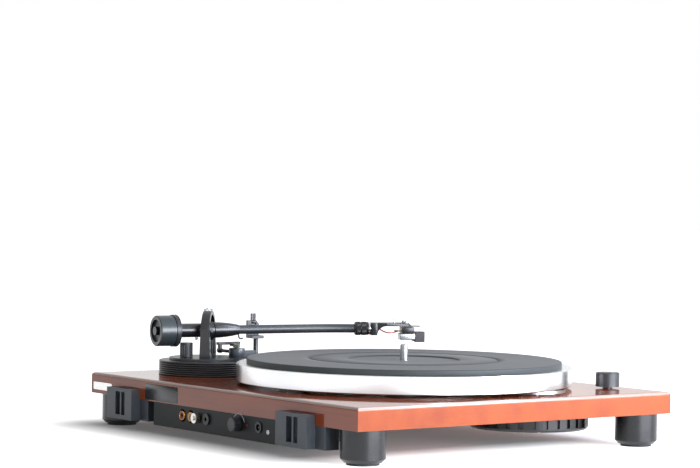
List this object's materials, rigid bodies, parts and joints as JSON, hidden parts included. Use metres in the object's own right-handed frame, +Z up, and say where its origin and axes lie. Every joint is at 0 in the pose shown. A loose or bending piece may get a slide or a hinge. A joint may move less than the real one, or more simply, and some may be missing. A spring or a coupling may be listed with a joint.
{
  "type": "manual turntable",
  "caption": "Belt-drive record player: lacquered wooden board on round feet, aluminium platter with rubber mat, balanced tonearm with headshell, rear socket panel.",
  "frame": {"origin": "on the floor under the middle of the whole object's outline", "axes": "+Z up; +Y to the rear, where the sockets are; +X to the right seen from the front"},
  "size_m": [0.42, 0.35, 0.1097],
  "materials": {
    "lacquered_wood": "sealed and lacquered, glossy top",
    "foot_plastic": "moulded, smooth",
    "pad_rubber": "soft, matt",
    "zinc_steel": "zinc-plated",
    "bracket_plastic": "moulded, fine texture",
    "tray_steel": "black powder coat",
    "circuit_laminate": "green solder mask",
    "red_plastic": "moulded ring round a plated barrel",
    "cream_plastic": "moulded ring round a plated barrel",
    "plated_brass": "nickel-plated",
    "socket_plastic": "moulded",
    "knob_plastic": "moulded, ribbed",
    "bearing_metal": "turned",
    "bush_brass": "turned",
    "polished_steel": "ground and polished",
    "cast_aluminium": "turned and polished rim",
    "mat_rubber": "moulded, matt",
    "motor_steel": "drawn can",
    "belt_rubber": "ground flat",
    "cover_plastic": "moulded",
    "base_plastic": "moulded, satin",
    "arch_metal": "cast and painted black",
    "arm_aluminium": "black gloss",
    "weight_steel": "black satin",
    "shell_aluminium": "black satin",
    "cartridge_plastic": "moulded",
    "lead_wire": "coloured sleeves",
    "lift_metal": "grey satin"
  },
  "bodies": {
    "deck": {"plinth": "lacquered_wood", "feet": "foot_plastic", "foot_pads": "pad_rubber", "foot_screws": "zinc_steel", "deck_screws": "zinc_steel", "bottom_screws": "zinc_steel", "lid_socket_left": "bracket_plastic", "lid_socket_right": "bracket_plastic", "electronics_tray": "tray_steel", "socket_panel": "tray_steel", "circuit_board": "circuit_laminate", "rca_socket_red": "red_plastic", "rca_socket_white": "cream_plastic", "ground_stud": "plated_brass", "round_socket": "socket_plastic", "power_socket": "socket_plastic", "selector_switch": "socket_plastic", "bearing_housing": "bearing_metal", "bearing_bush": "bush_brass", "thrust_ball": "polished_steel", "motor_plate": "zinc_steel", "motor_body": "motor_steel", "drive_belt": "belt_rubber", "motor_cover": "cover_plastic", "speed_switch": "socket_plastic", "arm_base": "base_plastic", "arm_base_plate": "base_plastic", "arm_arch": "arch_metal", "upper_pivot_screw": "polished_steel", "pivot_lock_nut": "polished_steel", "lower_pivot_post": "polished_steel", "arm_rest": "base_plastic", "rest_cradle": "base_plastic", "lift_housing": "lift_metal"},
    "turning_platter": {"platter": "cast_aluminium", "platter_mat": "mat_rubber", "spindle_shaft": "polished_steel"},
    "pulley": {"motor_pulley": "bush_brass"},
    "gimbal": {"gimbal_ring": "arm_aluminium", "side_pivot_screws": "polished_steel"},
    "arm": {"arm_housing": "arm_aluminium", "arm_tube": "arm_aluminium", "headshell": "shell_aluminium", "finger_lift": "shell_aluminium", "cartridge": "cartridge_plastic", "cartridge_screws": "zinc_steel", "stylus": "cartridge_plastic", "headshell_leads": "lead_wire"},
    "weight_sleeve": {"counterweight_sleeve": "base_plastic"},
    "weight": {"counterweight": "weight_steel"},
    "dial": {"force_dial": "base_plastic"},
    "collar": {"headshell_collar": "arm_aluminium"},
    "guard": {"stylus_guard": "cartridge_plastic"},
    "cue": {"cue_lever": "base_plastic"},
    "lifter": {"lift_bar": "base_plastic"},
    "antiskate": {"antiskate_knob": "knob_plastic"},
    "clip": {"rest_clip": "base_plastic"},
    "speed": {"speed_knob": "knob_plastic"},
    "selector": {"selector_knob": "knob_plastic"},
    "terminal_nut": {"ground_nut": "plated_brass"}
  },
  "joints": [
    {"name": "platter_spin", "type": "hinge", "parent": "deck", "child": "turning_platter", "pos_m": [-0.0405, -0.0101, 0.06], "axis": [0, 0, -1], "continuous": true},
    {"name": "pulley_spin", "type": "hinge", "parent": "deck", "child": "pulley", "pos_m": [-0.1375, -0.0735, 0.055], "axis": [0, 0, -1], "continuous": true},
    {"name": "arm_swing", "type": "hinge", "parent": "deck", "child": "gimbal", "pos_m": [0.1436, 0.0799, 0.089], "axis": [0, 0, -1], "range_deg": [0, 36]},
    {"name": "arm_lift", "type": "hinge", "parent": "gimbal", "child": "arm", "pos_m": [0.1436, 0.0799, 0.089], "axis": [-0.9914, 0.1305, 0], "range_deg": [-0.7, 8]},
    {"name": "counterweight_travel", "type": "slide", "parent": "arm", "child": "weight_sleeve", "axis": [-0.1305, -0.9914, 0], "range_m": [-0.0016, 0.0016]},
    {"name": "counterweight_turn", "type": "hinge", "parent": "weight_sleeve", "child": "weight", "pos_m": [0.15014, 0.12957, 0.089], "axis": [-0.1305, -0.9914, 0], "range_deg": [-360, 360]},
    {"name": "force_dial_turn", "type": "hinge", "parent": "weight", "child": "dial", "pos_m": [0.14831, 0.11569, 0.089], "axis": [-0.1305, -0.9914, 0], "continuous": true},
    {"name": "collar_turn", "type": "hinge", "parent": "arm", "child": "collar", "pos_m": [0.11542, -0.06954, 0.089], "axis": [-0.4695, -0.8829, 0], "range_deg": [0, 60]},
    {"name": "stylus_guard_pull", "type": "slide", "parent": "arm", "child": "guard", "axis": [-0.4695, -0.8829, 0], "range_m": [0, 0.015]},
    {"name": "cue_lever_turn", "type": "hinge", "parent": "deck", "child": "cue", "pos_m": [0.1436, 0.05478, 0.0683], "axis": [-1, 0, 0], "range_deg": [0, 60]},
    {"name": "lift_bar_rise", "type": "slide", "parent": "deck", "child": "lifter", "axis": [0, 0, 1], "range_m": [0, 0.0068]},
    {"name": "antiskate_turn", "type": "hinge", "parent": "deck", "child": "antiskate", "pos_m": [0.1496, 0.0999, 0.07], "axis": [0, 0, 1], "range_deg": [0, 270]},
    {"name": "rest_clip_swing", "type": "hinge", "parent": "deck", "child": "clip", "pos_m": [0.14451, 0.02935, 0.0957], "axis": [-0.1305, -0.9914, 0], "range_deg": [0, 88]},
    {"name": "speed_knob_turn", "type": "hinge", "parent": "deck", "child": "speed", "pos_m": [-0.1532, -0.1525, 0.055], "axis": [0, 0, 1], "range_deg": [-45, 45]},
    {"name": "selector_turn", "type": "hinge", "parent": "deck", "child": "selector", "pos_m": [-0.0402, 0.166, 0.0205], "axis": [0, 1, 0], "range_deg": [0, 60]},
    {"name": "ground_nut_turn", "type": "hinge", "parent": "deck", "child": "terminal_nut", "pos_m": [0.0232, 0.166, 0.0205], "axis": [0, 1, 0], "continuous": true}
  ],
  "couplings": [
    {"joint": "pulley_spin", "follows": "platter_spin", "ratio": 15},
    {"joint": "counterweight_travel", "follows": "counterweight_turn", "m_per_rad": 0.00025465},
    {"joint": "lift_bar_rise", "follows": "cue_lever_turn", "m_per_rad": 0.0064935}
  ]
}
